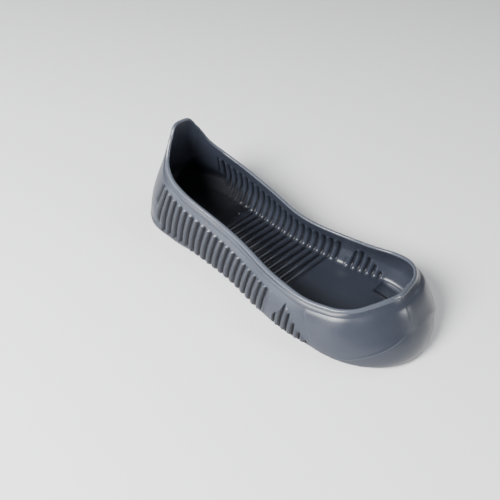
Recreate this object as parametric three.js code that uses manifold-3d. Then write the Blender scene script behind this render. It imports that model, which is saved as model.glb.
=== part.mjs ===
import * as THREE from 'three';
import { mergeGeometries, mergeVertices } from 'three/addons/utils/BufferGeometryUtils.js';
import Module from 'manifold-3d';

// A moulded rubber overshoe for a right foot, open from the heel tab to the toe cap.
// The whole thing is one moulding: a sole plate with tread blocks under heel and forefoot,
// a wall with concertina ribs that run from the rim down and across the waist of the sole,
// a rounded toe cap that closes over the toes, and a tall tab behind the heel.
// Millimetres. X runs from heel to toe, Y towards the other foot, Z up, with the ground at 0.
// A station is a distance from the heel end along X; a height is above the sole plate's underside.

// Overall sizes
const SHOE_LENGTH = 285;
const HEEL_WIDTH = 91;
const BALL_WIDTH = 115;
const HEEL_ROUND = 40;
const TOE_ROUND = 60;
const TOE_SWING = 9;
const SWING_LENGTH = 120;
const TAB_HEIGHT = 90;
const WAIST_HEIGHT = 38;
const TOE_HEIGHT = 53.5;
const SIDE_INSET = 12;
const TOE_INSET = 28.5;

// Wall, plate and rim
const WALL = 2.6;
const PLATE = 3;
const EDGE_RADIUS = 3;
const FLOOR_INSET = 5.9;
const RIM_BEAD = 3.8;
const RIM_BEAD_PROUD = 0.6;

// Concertina ribs: the wall keeps one thickness and waves in and out
const RIB_PITCH = 7.5;
const FIRST_GROOVE = 26.6;
const RIB_TO_FAN = 11;
const RIB_DEPTH = 1.8;
const RIB_PROUD = 0.7;
const RIB_MARGIN = 13;
const RIB_END = 3;

// The fan of short ribs at the ball of the foot
const FAN_PITCH = 6.45;
const FAN_TO_TOE = 40.7;
const FAN_REACH = 27;
const FAN_FADE = 4;

// Tread
const TREAD_HEIGHT = 2;
const TREAD_SINK = 0.6;
const TREAD_BORDER = 4.5;
const SMALLEST_BLOCK = 2.5;
const BLOCK_LENGTH = 12.6;
const BLOCK_WIDTH = 14.5;
const SLOT = 2.6;
const CHANNEL = 1;
const SMALL_LENGTH = 8.1;
const SMALL_WIDTH = 6.5;
const SMALL_SLOT = 1.8;
const HEEL_TREAD_END = 78;
const HEEL_BLOCKS_LONG = 4;
const TREAD_CENTRE = -2.5;
const TREAD_TO_GROOVE = 6.9;
const TOE_SMALL_ZONE = 36;

// How square the heel and toe ends are: 2 is an ellipse
const HEEL_SQUARENESS = 2.16;
const TOE_SQUARENESS = 2;

// Outline of the sole. at: share of the way from the centre of the heel's round end to the toe's;
// ball: how far the width has grown from HEEL_WIDTH to BALL_WIDTH; lateral: outer side's share of it
const OUTLINE = [
  { at: 0.00, ball: 0.00, lateral: 0.502 },
  { at: 0.24, ball: -0.04, lateral: 0.502 },
  { at: 0.46, ball: -0.02, lateral: 0.510 },
  { at: 0.68, ball: 0.44, lateral: 0.515 },
  { at: 0.85, ball: 0.81, lateral: 0.491 },
  { at: 1.00, ball: 1.00, lateral: 0.455 },
];

// The rim. at: share of SHOE_LENGTH; tab and toe: shares of the rise above WAIST_HEIGHT to
// TAB_HEIGHT and TOE_HEIGHT; lateral, medial: shares of SIDE_INSET; front: share of TOE_INSET
const RIM = [
  { at: 0.000, tab: 1.00, toe: 0.00, lateral: 0.79, medial: 0.79, front: 0.00 },
  { at: 0.014, tab: 0.82, toe: 0.00, lateral: 0.92, medial: 0.90, front: 0.00 },
  { at: 0.049, tab: 0.51, toe: 0.00, lateral: 0.98, medial: 0.94, front: 0.00 },
  { at: 0.105, tab: 0.34, toe: 0.00, lateral: 1.02, medial: 0.88, front: 0.00 },
  { at: 0.210, tab: 0.21, toe: 0.00, lateral: 0.81, medial: 0.63, front: 0.00 },
  { at: 0.350, tab: 0.08, toe: 0.00, lateral: 1.00, medial: 0.59, front: 0.00 },
  { at: 0.490, tab: 0.00, toe: 0.00, lateral: 0.98, medial: 0.89, front: 0.00 },
  { at: 0.632, tab: 0.00, toe: 0.05, lateral: 0.82, medial: 0.89, front: 0.00 },
  { at: 0.737, tab: 0.00, toe: 0.06, lateral: 0.76, medial: 0.76, front: 0.03 },
  { at: 0.842, tab: 0.00, toe: 0.39, lateral: 0.38, medial: 0.22, front: 0.37 },
  { at: 0.930, tab: 0.00, toe: 0.78, lateral: 0.12, medial: 0.00, front: 0.77 },
  { at: 1.000, tab: 0.00, toe: 1.00, lateral: 0.00, medial: 0.00, front: 1.00 },
];

// Bulge of the wall, in degrees. flare: outward lean at its foot; lean: inward lean at the rim
const BULGE = [
  { at: 0.00, flare: 19.0, lean: 5.0 },
  { at: 0.21, flare: 12.0, lean: 21.0 },
  { at: 0.49, flare: 9.5, lean: 27.0 },
  { at: 0.70, flare: 12.5, lean: 36.5 },
  { at: 1.00, flare: 15.5, lean: 40.5 },
];

// Where the first grooves stop, as a share of the way down from their tops
const SHORT_GROOVES = [
  { groove: 1, stop: 0.55 },
  { groove: 2, stop: 0.80 },
];

// Height of each short groove at the ball, as a share of FAN_REACH
const FAN = [
  { top: 0.54 },
  { top: 1.00 },
  { top: 0.82 },
  { top: 0.61 },
  { top: 0.41 },
  { top: 0.23 },
];

// Rows up the wall, as shares of the way from the sole's edge to the top of the ribs
const OUTER_ROWS = [0.10, 0.36, 0.64, 0.90];
const INNER_ROWS = [0.84, 0.48, 0.15];
const HEEL_STEPS = 6;
const TOE_STEPS = 9;
const RIB_PHASES = [0, 0.25, 0.5, 0.75];

// How far the wall's curve is pulled along its end directions, and how near points are merged
const CURVE_PULL = 0.36;
const MERGE_DISTANCE = 1e-4;

// Places that follow from the sizes: the toe's centre, where the toe starts to swing, the fan's
// first groove, how many grooves there are, which of them cross the sole, and the forefoot's tread
const toeCentre = SHOE_LENGTH - TOE_ROUND;
const swingStart = SHOE_LENGTH - SWING_LENGTH;
const fanStart = toeCentre - FAN_TO_TOE;
const grooves = Math.floor((fanStart - RIB_TO_FAN - FIRST_GROOVE) / RIB_PITCH) + 1;
const firstSoleGroove = Math.ceil((HEEL_TREAD_END - FIRST_GROOVE) / RIB_PITCH) + 1;
const lastSoleGroove = grooves - 1;
const toeTreadStart = FIRST_GROOVE + (lastSoleGroove - 1) * RIB_PITCH + TREAD_TO_GROOVE;
const toeBlocksLong = Math.floor((SHOE_LENGTH - TOE_SMALL_ZONE - toeTreadStart) / BLOCK_LENGTH);

// A smooth curve through one column of a table, level at both ends
function readTable(table, column, at) {
  const place = THREE.MathUtils.clamp(at, 0, 1);
  let k = table.length - 2;
  while (k > 0 && place < table[k].at) {
    k -= 1;
  }
  const slope = (i) => {
    if (i === 0 || i === table.length - 1) {
      return 0;
    }
    return (table[i + 1][column] - table[i - 1][column]) / (table[i + 1].at - table[i - 1].at);
  };
  const span = table[k + 1].at - table[k].at;
  const t = (place - table[k].at) / span;
  const start = (2 * t ** 3 - 3 * t ** 2 + 1) * table[k][column];
  const leave = (t ** 3 - 2 * t ** 2 + t) * span * slope(k);
  const end = (3 * t ** 2 - 2 * t ** 3) * table[k + 1][column];
  const arrive = (t ** 3 - t ** 2) * span * slope(k + 1);
  return start + leave + end + arrive;
}

// Half width of the sole at a station, on the lateral (-1) or the medial (+1) side
function halfWidth(station, side) {
  const at = (station - HEEL_ROUND) / (toeCentre - HEEL_ROUND);
  const width = HEEL_WIDTH + readTable(OUTLINE, 'ball', at) * (BALL_WIDTH - HEEL_WIDTH);
  const lateral = readTable(OUTLINE, 'lateral', at);
  const heel = THREE.MathUtils.clamp((HEEL_ROUND - station) / HEEL_ROUND, 0, 1);
  const toe = THREE.MathUtils.clamp((station - toeCentre) / TOE_ROUND, 0, 1);
  const heelShare = (1 - heel ** HEEL_SQUARENESS) ** (1 / HEEL_SQUARENESS);
  const toeShare = (1 - toe ** TOE_SQUARENESS) ** (1 / TOE_SQUARENESS);
  return width * (side < 0 ? lateral : 1 - lateral) * heelShare * toeShare;
}

// The toe leans towards the medial side, more and more past swingStart
function swing(x) {
  const share = THREE.MathUtils.clamp((x - swingStart) / SWING_LENGTH, 0, 1);
  return TOE_SWING * share ** 2;
}

// How much of a groove there is at a distance from its middle, in pitches: each ridge is half round
function grooveShare(distance) {
  const fromCrest = 1 - 2 * Math.abs(distance - Math.round(distance));
  return 1 - Math.sqrt(1 - fromCrest ** 2);
}

// The stations of one side, from heel to toe, each with its place in the ribs or the fan
function makeStations() {
  const stations = [];
  const firstRib = FIRST_GROOVE - RIB_PITCH / 2;
  const turn = Math.acos(1 - firstRib / HEEL_ROUND);
  for (let k = 0; k < HEEL_STEPS; k += 1) {
    stations.push({ station: HEEL_ROUND * (1 - Math.cos((k * turn) / HEEL_STEPS)) });
  }
  stations.push({ station: firstRib });
  for (let groove = 1; groove <= grooves; groove += 1) {
    for (const phase of RIB_PHASES) {
      const rib = groove + phase;
      if (rib < grooves + 0.5) {
        stations.push({ station: FIRST_GROOVE + (rib - 1) * RIB_PITCH, rib });
      }
    }
  }
  stations.push({ station: FIRST_GROOVE + (grooves - 0.5) * RIB_PITCH });
  for (let groove = 1; groove <= FAN.length; groove += 1) {
    for (const phase of RIB_PHASES) {
      const fan = groove + phase;
      if (fan < FAN.length + 0.5) {
        stations.push({ station: fanStart + (fan - 1) * FAN_PITCH, fan });
      }
    }
  }
  stations.push({ station: toeCentre });
  for (let k = 1; k <= TOE_STEPS; k += 1) {
    stations.push({ station: toeCentre + TOE_ROUND * Math.sin((k * Math.PI) / 2 / TOE_STEPS) });
  }
  return stations;
}

// The upright plane at one station: its centre and edge on the ground, and the wall's curve in it
function makeSection(place, side) {
  const { station } = place;
  const edge = new THREE.Vector2(station, side * halfWidth(station, side));
  const centre = new THREE.Vector2(THREE.MathUtils.clamp(station, HEEL_ROUND, toeCentre), 0);
  const reach = edge.distanceTo(centre);
  const out = edge.clone().sub(centre).divideScalar(reach);
  const at = station / SHOE_LENGTH;
  const tabRise = readTable(RIM, 'tab', at) * (TAB_HEIGHT - WAIST_HEIGHT);
  const toeRise = readTable(RIM, 'toe', at) * (TOE_HEIGHT - WAIST_HEIGHT);
  const rise = WAIST_HEIGHT + tabRise + toeRise;
  const sideInset = readTable(RIM, side < 0 ? 'lateral' : 'medial', at) * SIDE_INSET;
  const inset = sideInset + readTable(RIM, 'front', at) * TOE_INSET;
  const flare = THREE.MathUtils.degToRad(readTable(BULGE, 'flare', at));
  const lean = THREE.MathUtils.degToRad(readTable(BULGE, 'lean', at));
  const pull = CURVE_PULL * Math.hypot(rise, inset);
  const curve = new THREE.CubicBezierCurve(
    new THREE.Vector2(0, 0),
    new THREE.Vector2(pull * Math.sin(flare), pull * Math.cos(flare)),
    new THREE.Vector2(-inset + pull * Math.sin(lean), rise - pull * Math.cos(lean)),
    new THREE.Vector2(-inset, rise),
  );
  return { ...place, side, centre, reach, out, curve, length: curve.getLength() };
}

// A point in a section: along is measured outwards from the edge, height from the plate's underside
function placePoint(section, along, height) {
  const x = section.centre.x + section.out.x * (section.reach + along);
  const y = section.centre.y + section.out.y * (section.reach + along);
  return new THREE.Vector3(x, y + swing(x), height + TREAD_HEIGHT);
}

// A point on the wall at a length along its curve, moved outwards by offset, square to the wall
function wallPoint(section, length, offset) {
  const share = THREE.MathUtils.clamp(length / section.length, 0, 1);
  const point = section.curve.getPointAt(share);
  const tangent = section.curve.getTangentAt(share);
  return placePoint(section, point.x + offset * tangent.y, point.y - offset * tangent.x);
}

// How far a groove has faded in at this place, from 0 to 1
function grooveFade(section, down, height) {
  if (section.rib !== undefined) {
    const short = SHORT_GROOVES.find((row) => row.groove === Math.floor(section.rib));
    const acrossSole = section.rib > firstSoleGroove - 0.5 && section.rib < lastSoleGroove + 0.5;
    if (down < 0) {
      return 0;
    }
    if (short) {
      return down <= short.stop ? 1 : 0;
    }
    return height > EDGE_RADIUS || acrossSole ? 1 : 0;
  }
  if (section.fan !== undefined) {
    const row = FAN[Math.min(Math.round(section.fan), FAN.length) - 1];
    const fade = THREE.MathUtils.clamp((row.top * FAN_REACH - height) / FAN_FADE, 0, 1);
    return height > EDGE_RADIUS / 2 ? fade : 0;
  }
  return 0;
}

// The wave of the wall where grooves are: ridges stand proud, and grooves cut in
function outerWave(section, fade) {
  const phase = section.rib === undefined ? section.fan : section.rib;
  return fade === 0 ? 0 : fade * (RIB_PROUD - RIB_DEPTH * grooveShare(phase));
}

function innerWave(section, fade) {
  const phase = section.rib === undefined ? section.fan : section.rib;
  return fade === 0 ? 0 : fade * (RIB_DEPTH * grooveShare(phase + 0.5) - RIB_PROUD);
}

// All points of one section, from the middle of the sole, up the wall, over the rim and down inside
function makeColumn(section) {
  const points = [];
  const ribTop = section.length - RIB_MARGIN;
  const soleFade = grooveFade(section, 1, 0);
  const low = outerWave(section, soleFade);
  points.push(placePoint(section, -section.reach, -low));
  points.push(placePoint(section, -EDGE_RADIUS, -low));
  const middle = EDGE_RADIUS * (1 - Math.SQRT1_2);
  points.push(placePoint(section, low * Math.SQRT1_2 - middle, middle - low * Math.SQRT1_2));
  for (const share of [...OUTER_ROWS, 1]) {
    const length = share * ribTop;
    const height = section.curve.getPointAt(length / section.length).y;
    points.push(wallPoint(section, length, outerWave(section, grooveFade(section, 1 - share, height))));
  }
  points.push(wallPoint(section, ribTop + RIB_END, 0));
  points.push(wallPoint(section, section.length - RIM_BEAD / 2, RIM_BEAD_PROUD));
  points.push(wallPoint(section, section.length, 0));
  points.push(wallPoint(section, section.length, -WALL));
  points.push(wallPoint(section, section.length - RIM_BEAD / 2, -WALL - RIM_BEAD_PROUD));
  points.push(wallPoint(section, ribTop + RIB_END, -WALL));
  for (const share of [1, ...INNER_ROWS]) {
    const length = share * ribTop;
    const height = section.curve.getPointAt(length / section.length).y;
    const wave = innerWave(section, grooveFade(section, 1 - share, height));
    points.push(wallPoint(section, length, wave - WALL));
  }
  const high = innerWave(section, soleFade);
  points.push(placePoint(section, -FLOOR_INSET, PLATE - high));
  points.push(placePoint(section, -section.reach, PLATE - high));
  return points;
}

// The moulding without its tread: a closed skin over a ring of sections
function makeShell() {
  const stations = makeStations();
  const lateral = stations.map((place) => makeSection(place, -1));
  const medial = stations.slice(1, -1).map((place) => makeSection(place, 1));
  const columns = [...lateral, ...medial.reverse()].map(makeColumn);
  const rows = columns[0].length;
  const positions = columns.flat().flatMap((point) => point.toArray());
  const index = [];
  for (let column = 0; column < columns.length; column += 1) {
    const next = (column + 1) % columns.length;
    for (let row = 0; row < rows - 1; row += 1) {
      const a = column * rows + row;
      const b = next * rows + row;
      index.push(a, b, a + 1);
      index.push(b, b + 1, a + 1);
    }
  }
  const skin = new THREE.BufferGeometry();
  skin.setAttribute('position', new THREE.Float32BufferAttribute(positions, 3));
  skin.setIndex(index);
  return skin;
}

// Where the tread ends at x on one side: the sole's outline drawn again, a border's width smaller
function treadEdge(x, side) {
  const past = (centre, round) => centre + ((x - centre) * round) / (round - TREAD_BORDER);
  const heelSide = x < HEEL_ROUND ? past(HEEL_ROUND, HEEL_ROUND) : x;
  const station = x > toeCentre ? past(toeCentre, TOE_ROUND) : heelSide;
  const full = halfWidth(THREE.MathUtils.clamp(x, HEEL_ROUND, toeCentre), side);
  return (side * halfWidth(station, side) * (full - TREAD_BORDER)) / full + swing(x);
}

// One tread block: a rectangle of the ground, cut off where it would cross the border
function makeBlock(x, y, length, width) {
  const start = x - length / 2;
  const end = x + length / 2;
  if (start <= TREAD_BORDER || end >= SHOE_LENGTH - TREAD_BORDER) {
    return null;
  }
  const low = (at) => Math.max(y - width / 2, treadEdge(at, -1));
  const high = (at) => Math.min(y + width / 2, treadEdge(at, 1));
  if (Math.min(high(start) - low(start), high(end) - low(end)) < SMALLEST_BLOCK) {
    return null;
  }
  const corners = [
    new THREE.Vector2(start, low(start)),
    new THREE.Vector2(end, low(end)),
    new THREE.Vector2(end, high(end)),
    new THREE.Vector2(start, high(start)),
  ];
  return new THREE.ExtrudeGeometry(new THREE.Shape(corners), {
    depth: TREAD_HEIGHT + TREAD_SINK,
    bevelEnabled: false,
  });
}

// Columns of blocks from one station on, each with rows on both sides of the tread's middle line
function makeBlocks(from, columns, size, middle) {
  const blocks = [];
  const rows = Math.ceil(BALL_WIDTH / size.width / 2);
  for (let column = 0; column < columns; column += 1) {
    const x = from + (column + 0.5) * size.length;
    for (let row = -rows; row <= rows; row += 1) {
      const y = middle(x) + row * size.width;
      blocks.push(makeBlock(x, y, size.length - size.slot, size.width - CHANNEL));
    }
  }
  return blocks.filter((block) => block !== null);
}

function makeTread() {
  const big = { length: BLOCK_LENGTH, width: BLOCK_WIDTH, slot: SLOT };
  const small = { length: SMALL_LENGTH, width: SMALL_WIDTH, slot: SMALL_SLOT };
  const heelZone = HEEL_TREAD_END - HEEL_BLOCKS_LONG * BLOCK_LENGTH;
  const toeZone = toeTreadStart + toeBlocksLong * BLOCK_LENGTH;
  const heelSmall = Math.ceil(heelZone / SMALL_LENGTH);
  const toeSmall = Math.ceil((SHOE_LENGTH - toeZone) / SMALL_LENGTH);
  const heelMiddle = () => TREAD_CENTRE;
  const toeMiddle = (x) => (treadEdge(x, -1) + treadEdge(x, 1)) / 2;
  return mergeGeometries([
    ...makeBlocks(heelZone - heelSmall * SMALL_LENGTH, heelSmall, small, heelMiddle),
    ...makeBlocks(heelZone, HEEL_BLOCKS_LONG, big, heelMiddle),
    ...makeBlocks(toeTreadStart, toeBlocksLong, big, toeMiddle),
    ...makeBlocks(toeZone, toeSmall, small, toeMiddle),
  ]);
}

// Closed solids for joining and cutting: only positions are kept, and shared points are merged
function solidMaker(wasm) {
  return (geometry) => {
    const bare = geometry.clone();
    bare.deleteAttribute('normal');
    bare.deleteAttribute('uv');
    const merged = mergeVertices(bare, MERGE_DISTANCE);
    const corners = merged.index.array;
    const kept = [];
    for (let k = 0; k < corners.length; k += 3) {
      const [a, b, c] = corners.slice(k, k + 3);
      if (a !== b && b !== c && c !== a) {
        kept.push(a, b, c);
      }
    }
    return new wasm.Manifold(new wasm.Mesh({
      numProp: 3,
      vertProperties: new Float32Array(merged.getAttribute('position').array),
      triVerts: new Uint32Array(kept),
    }));
  };
}

function toGeometry(solid) {
  const mesh = solid.getMesh();
  const geometry = new THREE.BufferGeometry();
  geometry.setAttribute('position', new THREE.BufferAttribute(mesh.vertProperties, 3));
  geometry.setIndex(new THREE.BufferAttribute(mesh.triVerts, 1));
  return geometry;
}

// The origin is on the ground, under the middle of the moulding's own box
function centreOnGround(geometry) {
  geometry.computeBoundingBox();
  const { min, max } = geometry.boundingBox;
  geometry.translate(-(min.x + max.x) / 2, -(min.y + max.y) / 2, -min.z);
  geometry.computeVertexNormals();
  return geometry;
}

const wasm = await Module();
wasm.setup();
const solid = solidMaker(wasm);

const rubber = new THREE.MeshStandardMaterial({ color: 0x5c636e, roughness: 0.5, metalness: 0 });
const overshoe = new THREE.Mesh(
  centreOnGround(toGeometry(solid(makeShell()).add(solid(makeTread())))),
  rubber,
);
overshoe.name = 'overshoe';

const group = new THREE.Group();
group.add(overshoe);

export default group;
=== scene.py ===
# %% [markdown]
# # A rubber overshoe
# This lesson dresses one moulded rubber overshoe for a right foot. The real thing comes out of
# its mould in one piece: a sole plate with tread blocks, a ribbed wall, a toe cap and a heel tab.
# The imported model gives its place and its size, and the fine surface is worked out here.

# %% Load the frame
import math
import bpy
import numpy as np
from mathutils import Matrix, Vector


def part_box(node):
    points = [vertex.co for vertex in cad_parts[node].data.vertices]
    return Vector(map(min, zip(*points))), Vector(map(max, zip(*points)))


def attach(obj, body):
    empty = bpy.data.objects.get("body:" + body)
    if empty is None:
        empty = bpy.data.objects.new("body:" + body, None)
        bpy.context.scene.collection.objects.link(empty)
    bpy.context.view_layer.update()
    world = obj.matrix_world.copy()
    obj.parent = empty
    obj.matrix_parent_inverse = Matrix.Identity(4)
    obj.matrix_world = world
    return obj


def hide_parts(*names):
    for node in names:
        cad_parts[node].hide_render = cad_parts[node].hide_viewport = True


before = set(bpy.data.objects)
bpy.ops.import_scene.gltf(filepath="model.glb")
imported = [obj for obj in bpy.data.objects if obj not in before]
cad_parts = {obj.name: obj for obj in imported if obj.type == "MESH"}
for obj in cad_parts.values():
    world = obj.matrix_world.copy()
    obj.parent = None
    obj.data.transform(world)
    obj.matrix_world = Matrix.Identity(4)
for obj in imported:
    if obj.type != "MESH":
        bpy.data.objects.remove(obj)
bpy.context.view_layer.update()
node_low, node_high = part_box("overshoe")

# %% [markdown]
# ## The sizes
# A shoe is measured from the heel end forwards, so every place along the overshoe is a station:
# its distance from the heel in millimetres. Heights are taken from the underside of the sole
# plate, and distances inwards from the sole's edge. These are the sizes that several steps share.

# %% Sizes in millimetres
MM = 0.001
SHOE_LENGTH = 285.0
HEEL_WIDTH = 91.0
BALL_WIDTH = 115.0
HEEL_ROUND = 40.0
TOE_ROUND = 60.0
TOE_CENTRE = SHOE_LENGTH - TOE_ROUND
TAB_HEIGHT = 90.0
WAIST_HEIGHT = 38.0
TOE_HEIGHT = 53.5
WALL = 2.6
PLATE = 3.0
EDGE_RADIUS = 3.0
RIB_PITCH = 7.5
FIRST_GROOVE = 26.6
GROOVES = 20
RIB_DEPTH = 2.9
RIB_PROUD = 0.9
RIB_MARGIN = 13.0
FAN_PITCH = 6.45
FAN_START = 184.3
TREAD_HEIGHT = 2.0
print("overshoe", SHOE_LENGTH, "mm long with", GROOVES, "grooves")

# %% [markdown]
# ## Short tables
# The outline of the sole, the height of the rim and the bulge of the wall all change along the
# overshoe. Each is a short table with a row for every place that matters, and its columns are
# shares of the sizes above. A smooth curve through a column fills in what lies between. A single
# formula would need fewer numbers, but no formula knows where a foot is narrow.

# %% Tables
OUTLINE = np.array([
    # at, ball, lateral
    (0.00, 0.00, 0.502),
    (0.24, -0.04, 0.502),
    (0.46, -0.02, 0.510),
    (0.68, 0.44, 0.515),
    (0.85, 0.81, 0.491),
    (1.00, 1.00, 0.455),
])
RIM = np.array([
    # at, tab, toe, lateral, medial, front
    (0.000, 1.00, 0.00, 0.79, 0.79, 0.00),
    (0.014, 0.82, 0.00, 0.92, 0.90, 0.00),
    (0.049, 0.51, 0.00, 0.98, 0.94, 0.00),
    (0.105, 0.34, 0.00, 1.02, 0.88, 0.00),
    (0.210, 0.21, 0.00, 0.81, 0.63, 0.00),
    (0.350, 0.08, 0.00, 1.00, 0.59, 0.00),
    (0.490, 0.00, 0.00, 0.98, 0.89, 0.00),
    (0.632, 0.00, 0.05, 0.82, 0.89, 0.00),
    (0.737, 0.00, 0.06, 0.76, 0.76, 0.03),
    (0.842, 0.00, 0.39, 0.38, 0.22, 0.37),
    (0.930, 0.00, 0.78, 0.12, 0.00, 0.77),
    (1.000, 0.00, 1.00, 0.00, 0.00, 1.00),
])
BULGE = np.array([
    # at, flare, lean
    (0.00, 19.0, 5.0),
    (0.21, 12.0, 21.0),
    (0.49, 9.5, 27.0),
    (0.70, 12.5, 36.5),
    (1.00, 15.5, 40.5),
])
BALL, LATERAL = 1, 2
TAB, TOE, LATERAL_INSET, MEDIAL_INSET, FRONT = 1, 2, 3, 4, 5
FLARE, LEAN = 1, 2
print("rows in the tables", len(OUTLINE), len(RIM), len(BULGE))

# %% Smooth curves between numbers
def read_table(table, column, at):
    """The cubic through two neighbouring rows, with the slope between the rows around it at each row."""
    places = table[:, 0]
    values = table[:, column]
    slopes = np.zeros_like(values)
    slopes[1:-1] = (values[2:] - values[:-2]) / (places[2:] - places[:-2])
    at = np.clip(at, 0.0, 1.0)
    k = np.clip(np.searchsorted(places, at, side="right") - 1, 0, len(places) - 2)
    span = places[k + 1] - places[k]
    t = (at - places[k]) / span
    start = (2 * t**3 - 3 * t**2 + 1) * values[k] + (t**3 - 2 * t**2 + t) * span * slopes[k]
    end = (3 * t**2 - 2 * t**3) * values[k + 1] + (t**3 - t**2) * span * slopes[k + 1]
    return start + end


def smooth_step(low, high, value):
    """Rises from 0 at low to 1 at high along three t squared minus two t cubed."""
    t = np.clip((value - low) / (high - low), 0.0, 1.0)
    return t * t * (3 - 2 * t)


def hump(middle, width, value):
    """The bell curve: 1 at the middle, and one over e at a width from it."""
    return np.exp(-((value - middle) / width) ** 2)


print("share of the tab's height a third along", round(read_table(RIM, TAB, 1 / 3), 2))

# %% [markdown]
# ## The outline of the sole
# Seen from above, a sole is wide at the ball, narrow at the heel, and its toe leans to the medial
# side, towards the other foot. Heel and toe could be plain half circles, but a real heel is a
# little squarer, which a superellipse gives with one more number.

# %% Outline
HEEL_SQUARENESS = 2.16
TOE_SQUARENESS = 2.0
TOE_SWING = 9.0
SWING_START = 165.0


def half_width(station, side):
    """The half width from the table, drawn in at heel and toe as a superellipse does."""
    at = (station - HEEL_ROUND) / (TOE_CENTRE - HEEL_ROUND)
    width = HEEL_WIDTH + read_table(OUTLINE, BALL, at) * (BALL_WIDTH - HEEL_WIDTH)
    lateral = read_table(OUTLINE, LATERAL, at)
    heel = np.clip((HEEL_ROUND - station) / HEEL_ROUND, 0.0, 1.0)
    toe = np.clip((station - TOE_CENTRE) / TOE_ROUND, 0.0, 1.0)
    heel_share = (1 - heel**HEEL_SQUARENESS) ** (1 / HEEL_SQUARENESS)
    toe_share = (1 - toe**TOE_SQUARENESS) ** (1 / TOE_SQUARENESS)
    return width * np.where(side < 0, lateral, 1 - lateral) * heel_share * toe_share


def swing(x):
    """The toe leans to the medial side with the square of the way past SWING_START."""
    share = np.clip((x - SWING_START) / (SHOE_LENGTH - SWING_START), 0.0, 1.0)
    return TOE_SWING * share**2


all_stations = np.linspace(0.0, SHOE_LENGTH, 200)
widest = [half_width(all_stations, side).max().round(1) for side in (-1, 1)]
print("widest half widths", widest)

# %% [markdown]
# ## Upright sections
# Along the straight part a section stands square to the overshoe. Round the heel and the toe the
# sections fan out from a centre, like the ribs of an umbrella, so the wall keeps one thickness on
# the bend. They stand closest where a rib turns and beside the thin seam of the toe. The side is
# -1 on the lateral half and 1 on the medial half.

# %% Places of the sections
HEEL_STEPS = 32
TOE_STEPS = 42
STEPS_BETWEEN = 6
FAN_TOPS = np.array([0.30, 0.54, 1.00, 0.82, 0.61, 0.41, 0.23, 0.10])
RIB_PHASES = np.array([0.0, 0.07, 0.17, 0.33, 0.43, 0.5, 0.57, 0.67, 0.83, 0.93])
SEAM_TURNS = np.radians([78.6, 79.0, 79.3, 79.6, 79.9, 80.2, 80.6])


def one_side_stations():
    """Cosine steps at the heel, rib phases at the waist, fan phases at the ball, sine steps at the toe."""
    first = FIRST_GROOVE - RIB_PITCH / 2
    turn = math.acos(1 - first / HEEL_ROUND)
    heel = HEEL_ROUND * (1 - np.cos(np.linspace(0.0, turn, HEEL_STEPS, endpoint=False)))
    ribs = (np.arange(0, GROOVES + 1)[:, None] + RIB_PHASES[None, :]).ravel()
    ribs = ribs[(ribs >= 0.5) & (ribs <= GROOVES + 0.5)]
    waist = FIRST_GROOVE + (ribs - 1) * RIB_PITCH
    fans = (np.arange(0, len(FAN_TOPS) - 1)[:, None] + RIB_PHASES[None, :]).ravel()
    fans = fans[(fans >= 0.5) & (fans <= len(FAN_TOPS) - 1.5)]
    fan = FAN_START + (fans - 1) * FAN_PITCH
    between = np.linspace(waist[-1], fan[0], STEPS_BETWEEN)[1:-1]
    toe_start = max(fan[-1] + 1.0, TOE_CENTRE)
    start_angle = math.asin((toe_start - TOE_CENTRE) / TOE_ROUND)
    turns = np.concatenate([np.linspace(start_angle, math.pi / 2, TOE_STEPS), SEAM_TURNS])
    toe = TOE_CENTRE + TOE_ROUND * np.sin(np.unique(turns))
    return np.concatenate([heel, waist, between, fan, toe])


one_side = one_side_stations()
ring_station = np.concatenate([one_side, one_side[-2:0:-1]])
ring_side = np.concatenate([-np.ones(len(one_side)), np.ones(len(one_side) - 2)])
print("sections round the overshoe", len(ring_station))

# %% [markdown]
# ## The curve of the wall
# In each section the wall is one cubic curve: it leaves the sole's edge at the flare angle and
# reaches the rim at the lean angle. A spline through many points could do the same, but four
# points keep it free of bumps. Every distance along the curve is a real length, so the rim bead,
# the strip under it and the ends of the ribs keep their real sizes everywhere.

# %% Wall curves
SIDE_INSET = 12.0
TOE_INSET = 28.7
CURVE_PULL = 0.36
CURVE_SAMPLES = 65
LATERAL_LET_OUT, LATERAL_TURN = 0.7, -22.0
MEDIAL_LET_OUT, MEDIAL_TURN = 1.0, 31.0
LET_OUT_WIDTH = 13.0
TINY = 1e-6


def wall_curve(pulls, t):
    """Points and unit tangents of the cubic with these four pulls, at the times t of each section."""
    a, b, c, d = (pulls[:, k, None, :] for k in range(4))
    t = t[..., None]
    point = (1 - t) ** 3 * a + 3 * t * (1 - t) ** 2 * b + 3 * t**2 * (1 - t) * c + t**3 * d
    slope = 3 * (1 - t) ** 2 * (b - a) + 6 * t * (1 - t) * (c - b) + 3 * t**2 * (d - c)
    return point, slope / np.linalg.norm(slope, axis=2, keepdims=True)


def rim_inset(station, side, turn):
    """How far the rim lies inside the edge: the table's shares, let out a little beside the tip."""
    at = station / SHOE_LENGTH
    lateral = read_table(RIM, LATERAL_INSET, at)
    medial = read_table(RIM, MEDIAL_INSET, at)
    inset = np.where(side < 0, lateral, medial) * SIDE_INSET
    inset = inset + read_table(RIM, FRONT, at) * TOE_INSET
    inset = inset - MEDIAL_LET_OUT * hump(MEDIAL_TURN, LET_OUT_WIDTH, turn)
    return inset - LATERAL_LET_OUT * hump(LATERAL_TURN, LET_OUT_WIDTH, turn)


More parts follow.
